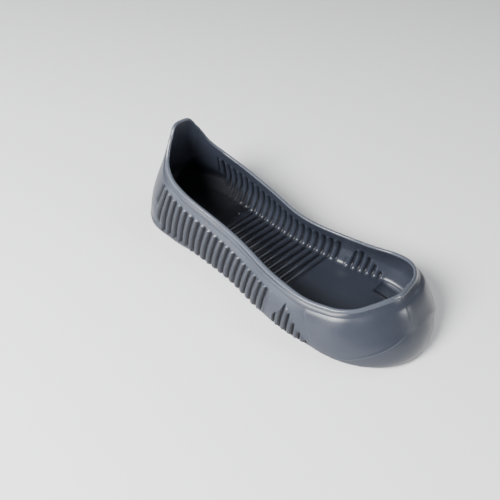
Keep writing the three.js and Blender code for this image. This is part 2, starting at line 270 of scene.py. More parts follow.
def make_sections(station, side):
    """One value per section in each array: its centre, its edge, its direction and its wall curve."""
    edge_y = side * half_width(station, side)
    centre_x = np.clip(station, HEEL_ROUND, TOE_CENTRE)
    away_x = station - centre_x
    reach = np.hypot(away_x, edge_y)
    at = station / SHOE_LENGTH
    rise = WAIST_HEIGHT + read_table(RIM, TAB, at) * (TAB_HEIGHT - WAIST_HEIGHT)
    rise = rise + read_table(RIM, TOE, at) * (TOE_HEIGHT - WAIST_HEIGHT)
    inset = rim_inset(station, side, np.degrees(np.arctan2(edge_y, np.maximum(away_x, TINY))))
    flare = np.radians(read_table(BULGE, FLARE, at))
    lean = np.radians(read_table(BULGE, LEAN, at))
    pull = CURVE_PULL * np.hypot(rise, inset)
    zero = np.zeros_like(rise)
    pulls = np.stack([
        np.stack([zero, zero], -1),
        np.stack([pull * np.sin(flare), pull * np.cos(flare)], -1),
        np.stack([-inset + pull * np.sin(lean), rise - pull * np.cos(lean)], -1),
        np.stack([-inset, rise], -1),
    ], 1)
    times = np.linspace(0.0, 1.0, CURVE_SAMPLES)
    points, _ = wall_curve(pulls, np.broadcast_to(times, (len(rise), CURVE_SAMPLES)))
    steps = np.linalg.norm(np.diff(points, axis=1), axis=2)
    lengths = np.concatenate([zero[:, None], np.cumsum(steps, axis=1)], 1)
    return {
        "centre_x": centre_x, "reach": reach, "out_x": away_x / reach, "out_y": edge_y / reach,
        "pulls": pulls, "lengths": lengths, "length": lengths[:, -1],
    }


ring = make_sections(ring_station, ring_side)
ring_around = np.degrees(np.arctan2(np.abs(ring["out_y"]), ring["out_x"]))
print("wall", ring["length"].min().round(1), "to", ring["length"].max().round(1), "mm from edge to rim")

# %% From a section to a place
def on_wall(sections, length):
    """Points and outward normals at these lengths along the wall: the tangent turned a quarter round."""
    lengths = sections["lengths"]
    k = (lengths[:, :, None] <= length[:, None, :]).sum(1) - 1
    k = np.clip(k, 0, CURVE_SAMPLES - 2)
    low = np.take_along_axis(lengths, k, 1)
    high = np.take_along_axis(lengths, k + 1, 1)
    t = (k + np.clip((length - low) / (high - low), 0.0, 1.0)) / (CURVE_SAMPLES - 1)
    point, tangent = wall_curve(sections["pulls"], t)
    return point, np.stack([tangent[..., 1], -tangent[..., 0]], -1)


def place(sections, along, height):
    """From the section's centre outwards by its reach and along, swung at the toe, raised by the tread."""
    outwards = sections["reach"][:, None] + along
    x = sections["centre_x"][:, None] + sections["out_x"][:, None] * outwards
    y = sections["out_y"][:, None] * outwards
    return np.stack([x, y + swing(x), height + TREAD_HEIGHT], -1)


def below_rim(length):
    """The distance down the wall from the rim."""
    return ring["length"][:, None] - length


edge = np.zeros((len(ring_station), 1))
print("edge of the heel", place(ring, edge, edge)[0, 0].round(1))

# %% [markdown]
# ## Where a section lies among the ribs
# The waist of the overshoe is a concertina, and two fans of short ribs sit at the ball. Both are
# counted in pitches, with a whole number in the middle of every groove. Some of the grooves run
# on under the sole, and the others end at its edge. Separate rib pieces would be easier to place,
# but the real wall is one skin that folds, so the ribs are a wave of that skin.

# %% Count the ribs
FIRST_SOLE_GROOVE = 8
LAST_SOLE_GROOVE = 19
SOLE_FADE_START, SOLE_FADE_END = 0.62, 0.36
ROUNDING = 0.01


def count_grooves(first, pitch, grooves):
    """Pitches from the first groove, which is 1; none from half a pitch past either end."""
    start = first - pitch / 2 - ROUNDING
    end = first + (grooves - 0.5) * pitch + ROUNDING
    inside = (ring_station >= start) & (ring_station <= end)
    return np.where(inside, 1 + (ring_station - first) / pitch, np.nan)


rib = count_grooves(FIRST_GROOVE, RIB_PITCH, GROOVES)
fan = count_grooves(FAN_START, FAN_PITCH, len(FAN_TOPS) - 2)
in_ribs = ~np.isnan(rib)
in_fan = ~np.isnan(fan)
phase = np.nan_to_num(np.where(np.isnan(rib), fan, rib), nan=0.5)
starts = FIRST_SOLE_GROOVE - np.array([SOLE_FADE_START, SOLE_FADE_END])
ends = -LAST_SOLE_GROOVE - np.array([SOLE_FADE_START, SOLE_FADE_END])
across_sole = smooth_step(*starts, np.nan_to_num(rib)) * smooth_step(*ends, -np.nan_to_num(rib))
print("sections in ribs", int(in_ribs.sum()), "in the fan", int(in_fan.sum()))

# %% [markdown]
# ## Ribs that wave the wall
# The wall of a concertina keeps one thickness and waves in and out, so that it can stretch. Each
# ridge is half round, and between two ridges is a narrow groove. Inside, the same wave shows half
# a pitch later, with wider grooves. The wave fades at the smooth band below the rim, at the
# sole's edge under the heel, and along the slanted top of the short ribs at the ball. A bump in
# the material could fake the grooves from afar, but they are nearly 3 mm deep and their shade
# and outline have to be real.

# %% Waves
GROOVE_FLOOR = 0.05
INNER_GROOVE_FLOOR = 0.13
RIB_TOP = (-1.0, 1.4)
RIB_FOOT = (2.8, 6.0)
SHORT_STOPS = np.array([0.0, 0.50, 0.80, 0.98, 1.0])
FULL_STOP = 0.97
STOP_FADE = 0.1
FAN_REACH = 27.0
FAN_TOP = (-1.0, 2.0)
FAN_FOOT = (0.5, 2.5)
FAN_SIDE = (0.5, 0.8)


def ridge(shift, floor):
    """Height of the half-round ridge, from 0 on the groove's floor to 1 on the crest."""
    turn = phase + shift
    distance = np.abs(turn - np.round(turn))
    from_crest = np.clip(1 - 2 * np.maximum(distance - floor, 0) / (1 - 2 * floor), 0, 1)
    return np.sqrt(np.clip(1 - from_crest**2, 0, 1))


def rib_fade(length, height):
    """1 along a groove, fading at its top and its foot, and stopping early in the first few at the heel."""
    top = (ring["length"] - RIB_MARGIN)[:, None]
    down = 1 - length / top
    index = np.clip(np.round(np.nan_to_num(rib)), 0, len(SHORT_STOPS) - 1).astype(int)
    stop = SHORT_STOPS[index][:, None]
    fade = smooth_step(*RIB_TOP, top - length)
    fade = fade * np.where(stop < FULL_STOP, smooth_step(0.0, STOP_FADE, stop - down), 1.0)
    return fade * np.maximum(smooth_step(*RIB_FOOT, height), across_sole[:, None])


def fan_fade(height):
    """1 between the foot of the fan and its slanted top, fading at both and beyond its outer ribs."""
    count = np.nan_to_num(fan)
    top = np.interp(count, np.arange(len(FAN_TOPS)), FAN_TOPS)[:, None] * FAN_REACH
    sides = smooth_step(*FAN_SIDE, count) * smooth_step(*FAN_SIDE, len(FAN_TOPS) - 1 - count)
    return smooth_step(*FAN_TOP, top - height) * smooth_step(*FAN_FOOT, height) * sides[:, None]


def fades(length, height):
    """How much of the wave there is: the ribs' fade, the fan's fade, or none elsewhere."""
    fade = np.where(in_ribs[:, None], rib_fade(length, height), 0.0)
    return np.where(in_fan[:, None], fan_fade(height), fade)


def outer_wave(fade):
    """Proud on the crest and RIB_DEPTH lower in the groove."""
    return fade * (RIB_PROUD - RIB_DEPTH * (1 - ridge(0.0, GROOVE_FLOOR)))[:, None]


def inner_wave(fade):
    """The same wave seen from inside, half a pitch on, measured outwards."""
    return fade * (RIB_DEPTH * (1 - ridge(0.5, INNER_GROOVE_FLOOR)) - RIB_PROUD)[:, None]


print("the wave runs from", outer_wave(np.ones((1, 1))).min().round(2), "to", RIB_PROUD, "mm")

# %% [markdown]
# ## Lines of the toe cap
# The toe cap is a little thicker than the wall behind it, and the mould leaves its lines on it: a
# step where the cap begins, a low raised line that climbs round each corner of the toe, and a
# short seam down the front from the rim. Each is a small push along the wall's own direction,
# worked out from how far a point lies from the line, so the mesh needs no separate pieces.

# %% Raised lines
CAP_STEP = 0.32
CAP_STEP_WIDTH = (-0.5, 0.5)
CAP_GROOVE, CAP_GROOVE_PLACE, CAP_GROOVE_WIDTH = 0.22, -0.7, 0.6
CAP_TOP_STATION, CAP_TOP_HEIGHT = 205.5, 33.7
CAP_FOOT_STATION, CAP_FOOT_HEIGHT = 222.5, 5.8
CREASE_HEIGHT = 8.0
CREASE_ANGLE = 62.7
CREASE_CLIMB = 0.48
CREASE_PROUD = 0.5
CREASE_WIDTH = 0.7
CREASE_FRONT = (12.0, 30.0)
CREASE_REAR = (-68.0, -60.0)
MEDIAL_CREASE = 0.4
SEAM_TURN = SEAM_TURNS[len(SEAM_TURNS) // 2]
SEAM_PROUD = 0.25
SEAM_WIDTH = 0.55
SEAM_START = (1.0, 5.0)
SEAM_END = (-27.0, -17.0)


def crease_height(around):
    """Height of the raised line, which climbs evenly as it nears the front of the toe."""
    return CREASE_HEIGHT + (CREASE_ANGLE - around) * CREASE_CLIMB


def cap_step(height):
    """A rise across the slanted line where the cap begins, with a fine groove just behind it."""
    share = (CAP_TOP_HEIGHT - height) / (CAP_TOP_HEIGHT - CAP_FOOT_HEIGHT)
    line = CAP_TOP_STATION + share * (CAP_FOOT_STATION - CAP_TOP_STATION)
    past = ring_station[:, None] - line
    groove = CAP_GROOVE * hump(CAP_GROOVE_PLACE, CAP_GROOVE_WIDTH, past)
    return CAP_STEP * smooth_step(*CAP_STEP_WIDTH, past) - groove


def crease(climb):
    """A bell across the raised line, fading at both its ends, and lower on the medial side."""
    ends = smooth_step(*CREASE_FRONT, ring_around) * smooth_step(*CREASE_REAR, -ring_around)
    ends = ends * np.where(ring_side < 0, 1.0, MEDIAL_CREASE)
    return CREASE_PROUD * hump(0.0, CREASE_WIDTH, climb) * ends[:, None]


def front_seam(down):
    """A bell across the seam's turn round the toe, from just under the rim to where it fades out."""
    turn = np.arcsin(np.clip((ring_station - TOE_CENTRE) / TOE_ROUND, -1, 1))
    across = (turn - SEAM_TURN)[:, None] * TOE_ROUND
    seam = SEAM_PROUD * hump(0.0, SEAM_WIDTH, across) * (ring_side[:, None] < 0)
    return seam * smooth_step(*SEAM_START, down) * smooth_step(*SEAM_END, -down)


print("raised line from", CREASE_HEIGHT, "to", round(crease_height(CREASE_FRONT[0]), 1), "mm high")

# %% [markdown]
# ## Swells of the toe and the heel
# Rubber is thicker where it is rubbed most. Above its raised line the medial side of the cap
# swells, under the rim the toe has a soft brow, and round the heel the wall and the sole's edge
# stand out. The table of the wall's bulge could carry them, but it holds the same for both sides
# and the whole height, so they are pushes of their own, each with its own soft ends.

# %% Swells
CAP_BULGE = 1.6
CAP_TUCK = 0.6
BULGE_CLIMB = (-7.0, 2.0)
BULGE_FRONT = (5.0, 30.0)
BULGE_REAR = (-88.0, -66.0)
BULGE_FOOT = (0.5, 5.0)
SHOULDER = 1.2
SHOULDER_STATIONS = (22.0, 60.0)
SHOULDER_FOOT = (1.0, 6.0)
BROW = 1.3
BROW_TOP, BROW_CREST, BROW_END = 3.6, 13.0, 30.0
BROW_STATIONS = (245.0, 266.0)
HEEL_EDGE = 2.6
HEEL_EDGE_STATIONS = (58.0, 86.0)
HEEL_EDGE_HEIGHTS = (1.5, 10.0)


def cap_swell(height, climb):
    """Out above the raised line and a little in below it, on the medial corner of the toe."""
    corner = smooth_step(*BULGE_FRONT, ring_around) * smooth_step(*BULGE_REAR, -ring_around)
    corner = (corner * (ring_side > 0))[:, None]
    swell = CAP_BULGE * smooth_step(*BULGE_CLIMB, climb) - CAP_TUCK
    return swell * corner * smooth_step(*BULGE_FOOT, height)


def heel_shoulder(height):
    """The heel's wall pushed out above its foot, fading towards the waist."""
    back = 1 - smooth_step(*SHOULDER_STATIONS, ring_station)
    return SHOULDER * back[:, None] * smooth_step(*SHOULDER_FOOT, height)


def toe_brow(down):
    """A swell under the rim of the toe: up from the bead to its crest, and back down to the wall."""
    brow = BROW * smooth_step(BROW_TOP, BROW_CREST, down) * smooth_step(-BROW_END, -BROW_CREST, -down)
    return brow * smooth_step(*BROW_STATIONS, ring_station)[:, None]


def heel_edge(height):
    """The sole's edge moved out round the heel, most at the bottom, fading up and towards the waist."""
    back = 1 - smooth_step(*HEEL_EDGE_STATIONS, ring_station)
    return HEEL_EDGE * back[:, None] * (1 - smooth_step(*HEEL_EDGE_HEIGHTS, height))


print("swells of", CAP_BULGE - CAP_TUCK, SHOULDER, BROW, "and", HEEL_EDGE, "mm")

# %% [markdown]
# ## The rim
# The rim of such a moulding is thickened, or it would tear when the overshoe is pulled on. It has
# a rounded bead, and below it a flat strip parted from the bead by a fine groove. They could be
# tubes laid along the rim, but as pushes that depend on the distance down from it they leave no
# seam. The lines and the swells are added up here too, since most of them stop at the strip.

# %% Bead and strip
BEAD_WIDTH = 3.6
BEAD_PROUD = 0.42
STRIP_WIDTH = 7.4
STRIP_PROUD = 0.28
STRIP_SLOPE = 0.35
STRIP_GROOVE, STRIP_GROOVE_GAP, STRIP_GROOVE_WIDTH = 0.336, 0.25, 0.28
STRIP_GONE = (228.0, 246.0)
UNDER_STRIP = 3.0


def bead_bulge(down):
    """Half a flat ellipse on the outer side of the wall, from the lip down to BEAD_WIDTH."""
    share = np.clip(2 * down / BEAD_WIDTH - 1, -1, 1)
    return BEAD_PROUD * np.sqrt(1 - share**2)


def strip_bulge(down):
    """A flat strip between the bead and the band, less a bell for the fine groove, gone at the toe."""
    strip = STRIP_PROUD * smooth_step(-STRIP_WIDTH, STRIP_SLOPE - STRIP_WIDTH, -down)
    groove = STRIP_GROOVE * hump(BEAD_WIDTH + STRIP_GROOVE_GAP, STRIP_GROOVE_WIDTH, down)
    return (strip - groove) * (1 - smooth_step(*STRIP_GONE, ring_station))[:, None]


def toe_relief(length, height):
    """The sum of the lines and the swells, kept clear of the strip except for the brow and the seam."""
    down = below_rim(length)
    climb = height - crease_height(ring_around)[:, None]
    relief = cap_step(height) + crease(climb) + cap_swell(height, climb) + heel_shoulder(height)
    relief = relief * smooth_step(STRIP_WIDTH, STRIP_WIDTH + UNDER_STRIP, down)
    return relief + toe_brow(down) + front_seam(down)


print("bead and strip stand out by", BEAD_PROUD, "and", STRIP_PROUD, "mm")

# %% [markdown]
# ## One closed skin
# The moulding could be a thin sheet with a Solidify modifier, but its inside and outside differ:
# the rim has a bead and a strip, and the floor has a shallow shelf at the toe. So one row of points
# is carried round the whole section instead: from the middle of the sole outwards, up the wall,
# round the bead, down inside and back to the middle of the floor. Rows are close together where
# the surface turns, and every row is worked out for all sections at once. Each family of rows
# gives three arrays: the distance out from the edge, the height, and its relief, which sets its dust,
# painted shade and painted highlight.

# %% Sole and its edge
SOLE_ROWS = np.array([36.0, 26.0, 18.0, 11.0, 6.0, 3.8])
EDGE_TURNS = np.radians([12.0, 32.0, 52.0, 72.0])
MIDDLE_GAP = 1.0


def rows(values):
    """The same row values for every section."""
    return np.broadcast_to(values, (len(ring_station), len(values)))


def sole_wave(like, wave):
    """The wave at the strength with which each section's groove crosses the sole."""
    return wave(np.broadcast_to(across_sole[:, None], like.shape))


def sole_rows():
    """Flat underside from the middle line out to the edge, waved where the grooves cross it."""
    inwards = np.minimum(rows(SOLE_ROWS), ring["reach"][:, None] - MIDDLE_GAP)
    inwards = np.concatenate([ring["reach"][:, None], inwards], 1)
    wave = sole_wave(inwards, outer_wave)
    return -inwards, -wave, wave


def edge_rows():
    """A quarter circle from the underside up to the wall, moved along its own normal by the wave."""
    turn = rows(EDGE_TURNS)
    height = EDGE_RADIUS * (1 - np.cos(turn))
    wave = sole_wave(turn, outer_wave)
    along = EDGE_RADIUS * (np.sin(turn) - 1) + heel_edge(height)
    return along + wave * np.sin(turn), height - wave * np.cos(turn), wave


print("rows under the sole and round its edge", len(SOLE_ROWS) + 1, len(EDGE_TURNS))

# %% [markdown]
# ## The outer wall
# The rows of the wall follow what they have to show: some run along the raised line of the toe,
# some along the upper ends of the ribs, and some along the strip and the bead. Evenly spaced rows
# would need many more faces for the same crisp lines. The ribbed wall holds dust and is painted darker
# as shade; the ribs' ends and the lip are rubbed smoother and painted lighter as a highlight.

# %% Outer rows
EDGE_GAP = 1.05
BELOW_CREASE = 5
CREASE_REACH = 2.2
CREASE_ROWS = np.array([-2.2, -1.5, -1.0, -0.6, -0.3, 0.0, 0.3, 0.6, 1.0, 1.5])
ABOVE_CREASE = 13
LOWEST_CREASE = 4.0
HIGHEST_CREASE = 0.72
RIB_TOP_ROWS = np.array([3.2, 2.3, 1.5, 0.8, 0.1, -0.6, -1.3])
BAND_ROWS = np.array([
    10.5, 8.6, 7.7, 7.35, 7.05, 6.2, 5.0, 4.3, 3.95, 3.7, 3.45, 3.2, 2.8, 2.3, 1.8,
])
# Painted shade over the ribbed wall, along with its dust.
RIB_DUST_AND_SHADE = 1.4
# Painted highlights, on smoother rubber, at the ribs' top ends and along the rim.
TIP_HIGHLIGHT = 1.6
TIP_HEIGHTS = (10.0, 14.0)
RIM_HIGHLIGHT = 2.0
RIM_HIGHLIGHT_END = (-3.9, -3.3)


def outer_lengths():
    """Even steps up to the raised line, rows along it, even steps up to the ribs' ends, and the band."""
    top = (ring["length"] - RIB_MARGIN)[:, None]
    start = EDGE_RADIUS * EDGE_GAP
    end = top - RIB_TOP_ROWS[0]
    line = np.clip(crease_height(ring_around)[:, None], start + LOWEST_CREASE, end * HIGHEST_CREASE)
    share_below = np.linspace(0.0, 1.0, BELOW_CREASE, endpoint=False)
    share_above = np.linspace(0.0, 1.0, ABOVE_CREASE, endpoint=False)
    below = start + share_below * (line - CREASE_REACH - start)
    above = line + CREASE_REACH + share_above * (end - line - CREASE_REACH)
    band = ring["length"][:, None] - BAND_ROWS
    return np.concatenate([below, line + CREASE_ROWS, above, top - RIB_TOP_ROWS, band], 1)


def outer_shade_and_highlight(wave, fade, height, down):
    """The wave with dust and painted shade, and a painted highlight on smoother rubber at its top and rim.
    """
    tips = TIP_HIGHLIGHT * 4 * fade * (1 - fade) * ridge(0.0, GROOVE_FLOOR)[:, None]
    tips = tips * smooth_step(*TIP_HEIGHTS, height)
    return wave - RIB_DUST_AND_SHADE * fade + tips + RIM_HIGHLIGHT * RIB_PROUD * smooth_step(*RIM_HIGHLIGHT_END, -down)


def outer_rows():
    """Up the wall to the lip: the wall's curve moved out by the wave, the relief, the strip and the bead."""
    length = outer_lengths()
    point, normal = on_wall(ring, length)
    height = point[..., 1]
    down = below_rim(length)
    fade = fades(length, height)
    wave = outer_wave(fade)
    move = wave + strip_bulge(down) + bead_bulge(down) + toe_relief(length, height)
    along = point[..., 0] + move * normal[..., 0] + heel_edge(height)
    return along, height + move * normal[..., 1], outer_shade_and_highlight(wave, fade, height, down)


print("rows up the outer wall", outer_lengths().shape[1])

# %% [markdown]
# ## The lip
# The top of the rim is rounded so that it doesn't cut the wearer. A Bevel modifier would round it
# too, but half a circle of rows meets the bead without a seam.

# %% Lip
LIP_TURNS = np.radians([0.0, 22.0, 42.0, 60.0, 78.0, 98.0, 120.0, 145.0, 170.0])


def lip_rows():
    """Half a circle over the wall, stretched outwards by the bead that it runs into."""
    point, normal = on_wall(ring, ring["length"][:, None] - WALL / 2)
    turn = rows(LIP_TURNS)
    outer = WALL / 2 + bead_bulge(WALL / 2)
    across = np.where(np.cos(turn) > 0, outer, WALL / 2) * np.cos(turn) - WALL / 2
    up = WALL / 2 * np.sin(turn)
    along = point[..., 0] + across * normal[..., 0] - up * normal[..., 1]
    height = point[..., 1] + across * normal[..., 1] + up * normal[..., 0]
    # The lip is rubbed smoother and painted lighter as a highlight.
    return along, height, np.full(turn.shape, RIM_HIGHLIGHT * RIB_PROUD)


print("rows round the lip", len(LIP_TURNS))

# %% [markdown]
# ## The inner wall
# Inside, the wall lies its own thickness in from the outer one, and it grows thicker towards its
# foot, where the rubber has to carry the sole. A curve then turns it into the floor. Solidify
# would keep one thickness, so the inside is worked out from the same wall curves as the outside.
# The heel's floor is matt and painted darker as shade.

# %% Inner wall and its foot
INNER_BAND_ROWS = np.array([2.2, 4.0, 6.4, 8.6, 10.8])
INNER_WALL_ROWS = 20
FOOT_HEIGHT = 6.0
FOOT_THICKER = 3.8
FOOT_REACH = 22.0
FILLET_ROWS = np.array([0.2, 0.38, 0.54, 0.7, 0.85])
FILLET_IN = 1.2
FOOT_SLOPE = 0.3
FLOOR_INSET = 8.9
# Painted shade on the heel's floor, which is also matt.
HEEL_SHADE = 3.6
HEEL_SHADE_STATIONS = (42.0, 84.0)
HEEL_SHADE_SHARES = (0.1, 0.55)


def heel_shade():
    """Painted shade on the heel's floor, which is also matt, fading out towards the waist."""
    return (HEEL_SHADE * (1 - smooth_step(*HEEL_SHADE_STATIONS, ring_station)))[:, None]


def inner_inset(length):
    """The wall's thickness, which grows smoothly towards its foot."""
    return WALL + FOOT_THICKER * (1 - smooth_step(FOOT_HEIGHT * 0.5, FOOT_REACH, length))


def inner_rows():
    """Down inside the wall, its own thickness in, with the inner wave."""
    top = (ring["length"] - RIB_MARGIN)[:, None]
    start = top - RIB_TOP_ROWS[0]
    share = np.linspace(0.0, 1.0, INNER_WALL_ROWS)[1:]
    upper = ring["length"][:, None] - INNER_BAND_ROWS
    length = np.concatenate([upper, top - RIB_TOP_ROWS[::-1], start - share * (start - FOOT_HEIGHT)], 1)
    point, normal = on_wall(ring, length)
    wave = inner_wave(fades(length, point[..., 1]))
    move = wave - inner_inset(length)
    low = 1 - smooth_step(*HEEL_SHADE_SHARES, length / ring["length"][:, None])
    moved = point + move[..., None] * normal
    # The inner grooves and the heel's lower wall are painted darker as shade.
    return moved[..., 0], moved[..., 1], -wave - heel_shade() * low


def fillet_rows():
    """A quadratic curve from the foot of the inner wall to the floor, its normal turning with it."""
    length = np.full((len(ring_station), 1), FOOT_HEIGHT)
    point, normal = on_wall(ring, length)
    foot = point - inner_inset(length)[..., None] * normal
    q = FILLET_ROWS[None, :, None]
    corner = np.stack([foot[..., 0] - FILLET_IN, np.full_like(foot[..., 0], PLATE + FOOT_SLOPE)], -1)
    end = np.stack([np.full_like(foot[..., 0], -FLOOR_INSET), np.full_like(foot[..., 0], PLATE)], -1)
    curve = (1 - q) ** 2 * foot + 2 * q * (1 - q) * corner + q**2 * end
    turn = (1 - q) * normal + q * np.array([0.0, -1.0])
    turn = turn / np.linalg.norm(turn, axis=2, keepdims=True)
    at_foot = np.maximum(fades(length, np.full_like(length, FOOT_HEIGHT)), across_sole[:, None])
    fade = at_foot * (1 - q[..., 0]) + across_sole[:, None] * q[..., 0]
    wave = inner_wave(fade)
    moved = curve + wave[..., None] * turn
    # The fillet's grooves and its part in the heel are painted darker as shade.
    return moved[..., 0], moved[..., 1], -wave - heel_shade()


print("wall", WALL, "mm thick, and", round(inner_inset(FOOT_HEIGHT), 1), "mm at its foot")

# %% [markdown]
# ## The floor
# The floor is waved at the waist, like the sole below it. Round the toe it drops to a low shelf,
# and in the heel it has one small dimple, left by the mould. A hole cut with a Boolean would
# leave long thin faces, so a few rows simply lie closer together there.

# %% Floor of the foot
FLOOR_GAP = 0.2
FLOOR_ROWS = np.array([
    10.4, 12.0, 15.0, 17.6, 18.4, 19.3, 20.2, 21.1, 22.0, 22.8, 23.7, 24.5, 28.0, 34.0,
])
SHELF_START, START_SOFT = 219.5, 0.6
SHELF_WIDTH, SIDE_SOFT = 24.1, 0.4
SHELF_DROP = 1.9
DIMPLE_STATION = 67.5
DIMPLE_INSET = 20.2
DIMPLE_RADII = (0.3, 2.6)
DIMPLE_DEPTH = 2.2
# Painted shade in the dimple.
DIMPLE_SHADE = 2.0


def floor_rows():
    """The plate's height less the wave, the shelf and the dimple, from the fillet to the middle line."""
    inwards = np.concatenate([[FLOOR_INSET + FLOOR_GAP], FLOOR_ROWS])
    inwards = np.minimum(rows(inwards), ring["reach"][:, None] - MIDDLE_GAP)
    inwards = np.concatenate([inwards, ring["reach"][:, None]], 1)
    wave = sole_wave(inwards, inner_wave)
    past_start = ring_station[:, None] - SHELF_START
    from_side = SHELF_WIDTH - inwards
    shelf = smooth_step(-START_SOFT, START_SOFT, past_start)
    shelf = shelf * smooth_step(-SIDE_SOFT, SIDE_SOFT, from_side)
    from_dimple = np.hypot(ring_station[:, None] - DIMPLE_STATION, inwards - DIMPLE_INSET)
    dimple = (1 - smooth_step(*DIMPLE_RADII, from_dimple)) * (ring_side[:, None] > 0)
    height = PLATE - wave - SHELF_DROP * shelf - DIMPLE_DEPTH * dimple
    # The grooves, the dimple and the heel's floor are painted darker as shade.
    return -inwards, height, -wave - DIMPLE_SHADE * dimple - heel_shade()


families = [sole_rows(), edge_rows(), outer_rows(), lip_rows(), inner_rows(), fillet_rows(), floor_rows()]
all_along, all_height, all_relief = (np.concatenate(arrays, 1) for arrays in zip(*families))
skin_points = place(ring, all_along, all_height)
print("rows round a section", skin_points.shape[1])

# %% [markdown]
# ## From grid to mesh
# The grid closes round the overshoe, and its first and last rows run along the middle line, where
# the lateral half and the medial half use the same points. Those doubles are joined by rounding
# every point to a fine raster and keeping one of each, and a four-sided face that has lost a side
# becomes a triangle. Merge by Distance does the same in the editor, point by point.

# %% Meshes from arrays
RASTER = 1e-4


def ring_faces(columns, height):
    """Corner numbers of the quads between neighbours, with the last column next to the first."""
    column = np.arange(columns)[:, None]
    row = np.arange(height - 1)[None, :]
    here = column * height + row
    following = (column + 1) % columns * height + row
    return np.stack([here, following, following + 1, here + 1], -1).reshape(-1, 4)


def make_piece(name, points, faces, smooth, relief=None):
    """Joins equal points, keeps faces with three or four different corners, and makes the object."""
    points = points.reshape(-1, 3)
    keys = np.round(points / RASTER).astype(np.int64)
    _, first, inverse = np.unique(keys, axis=0, return_index=True, return_inverse=True)
    faces = inverse.reshape(-1)[faces]
    same = faces == np.roll(faces, -1, axis=1)
    quads = faces[~same.any(1)]
    thirds = faces[same.sum(1) == 1]
    keep = ~same[same.sum(1) == 1]
    triangles = thirds[keep].reshape(-1, 3)
    mesh = bpy.data.meshes.new(name)
    mesh.from_pydata((points[first] * MM).tolist(), [], quads.tolist() + triangles.tolist())
    if relief is not None:
        layer = mesh.attributes.new("relief", "FLOAT", "POINT")
        layer.data.foreach_set("value", relief.reshape(-1)[first].astype(np.float32))
    mesh.polygons.foreach_set("use_smooth", np.full(len(mesh.polygons), smooth))
    mesh.update()
    piece = bpy.data.objects.new(name, mesh)
    bpy.context.scene.collection.objects.link(piece)
    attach(piece, "root")
    print(name, len(mesh.vertices), "points", len(mesh.polygons), "faces")
    return piece


# %% [markdown]
# ## The moulding in its place
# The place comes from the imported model: the middle of its box lies at this station and this far
# to the medial side of the middle line, so the skin is shifted until the two agree. Its height
# needs no shift, because the tread stands on the ground in both.

# %% Moulding
BOX_MIDDLE = np.array([141.42, 5.36])
cad_middle = np.array((node_low + node_high) / 2) / MM
SHIFT = np.array([*(cad_middle[:2] - BOX_MIDDLE), 0.0])
skin_faces = ring_faces(*skin_points.shape[:2])
moulding = make_piece("moulding", skin_points + SHIFT, skin_faces, True, all_relief / RIB_PROUD)
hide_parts("overshoe")
print("moved by", SHIFT.round(2), "size", np.ptp(skin_points.reshape(-1, 3), axis=0).round(1))

# %% [markdown]
# ## The field of the tread
# A tread is cut into the mould as a field of blocks, so that water can leave through the slots
# between them. Big blocks lie in the middle of the heel and under the ball of the foot, and small
# ones round them. A field could be an Array modifier cut by the outline, but clipping each cell
# as numbers keeps its four corners clean.

# %% Cells of the field
TREAD_BORDER = 4.5
SMALLEST_BLOCK = 2.5
BLOCK_LENGTH = 12.6
BLOCK_WIDTH = 14.5
SLOT = 2.4
CHANNEL = 0.9
SMALL_LENGTH = 8.1
SMALL_WIDTH = 6.5
SMALL_SLOT = 1.7
HEEL_TREAD_END = 78.0
HEEL_BLOCKS_LONG = 4
TREAD_CENTRE = -2.5
TOE_TREAD_START = 168.5
TOE_BLOCKS_LONG = 6
ROWS_EACH_SIDE = 9


def tread_edge(x, side):
    """The outline drawn again, a border's width smaller, and swung at the toe."""
    past_heel = HEEL_ROUND + (x - HEEL_ROUND) * HEEL_ROUND / (HEEL_ROUND - TREAD_BORDER)
    past_toe = TOE_CENTRE + (x - TOE_CENTRE) * TOE_ROUND / (TOE_ROUND - TREAD_BORDER)
    station = np.where(x < HEEL_ROUND, past_heel, x)
    station = np.where(x > TOE_CENTRE, past_toe, station)
    full = half_width(np.clip(x, HEEL_ROUND, TOE_CENTRE), side)
    edge = side * half_width(np.clip(station, 0, SHOE_LENGTH), side) * (full - TREAD_BORDER) / full
    return edge + swing(x)


def block_cells(start, columns, length, width, slot, toe):
    """Four corners for every cell of a field, clipped to the border, and its row in a last column."""
    x = start + (np.arange(columns) + 0.5) * length
    row = np.arange(-ROWS_EACH_SIDE, ROWS_EACH_SIDE + 1)
    x, row = (grid.ravel() for grid in np.meshgrid(x, row, indexing="ij"))
    middle = (tread_edge(x, -1) + tread_edge(x, 1)) / 2 if toe else np.full_like(x, TREAD_CENTRE)
    y = (middle + row * width)[:, None]
    ends = np.stack([x - (length - slot) / 2, x + (length - slot) / 2], 1)
    low = np.maximum(y - (width - CHANNEL) / 2, tread_edge(ends, -1))
    high = np.minimum(y + (width - CHANNEL) / 2, tread_edge(ends, 1))
    keep = (high - low).min(1) >= SMALLEST_BLOCK
    keep &= (ends[:, 0] > TREAD_BORDER) & (ends[:, 1] < SHOE_LENGTH - TREAD_BORDER)
    corners = [ends[:, 0], ends[:, 1], low[:, 0], low[:, 1], high[:, 0], high[:, 1], row]
    return np.stack(corners, 1)[keep]


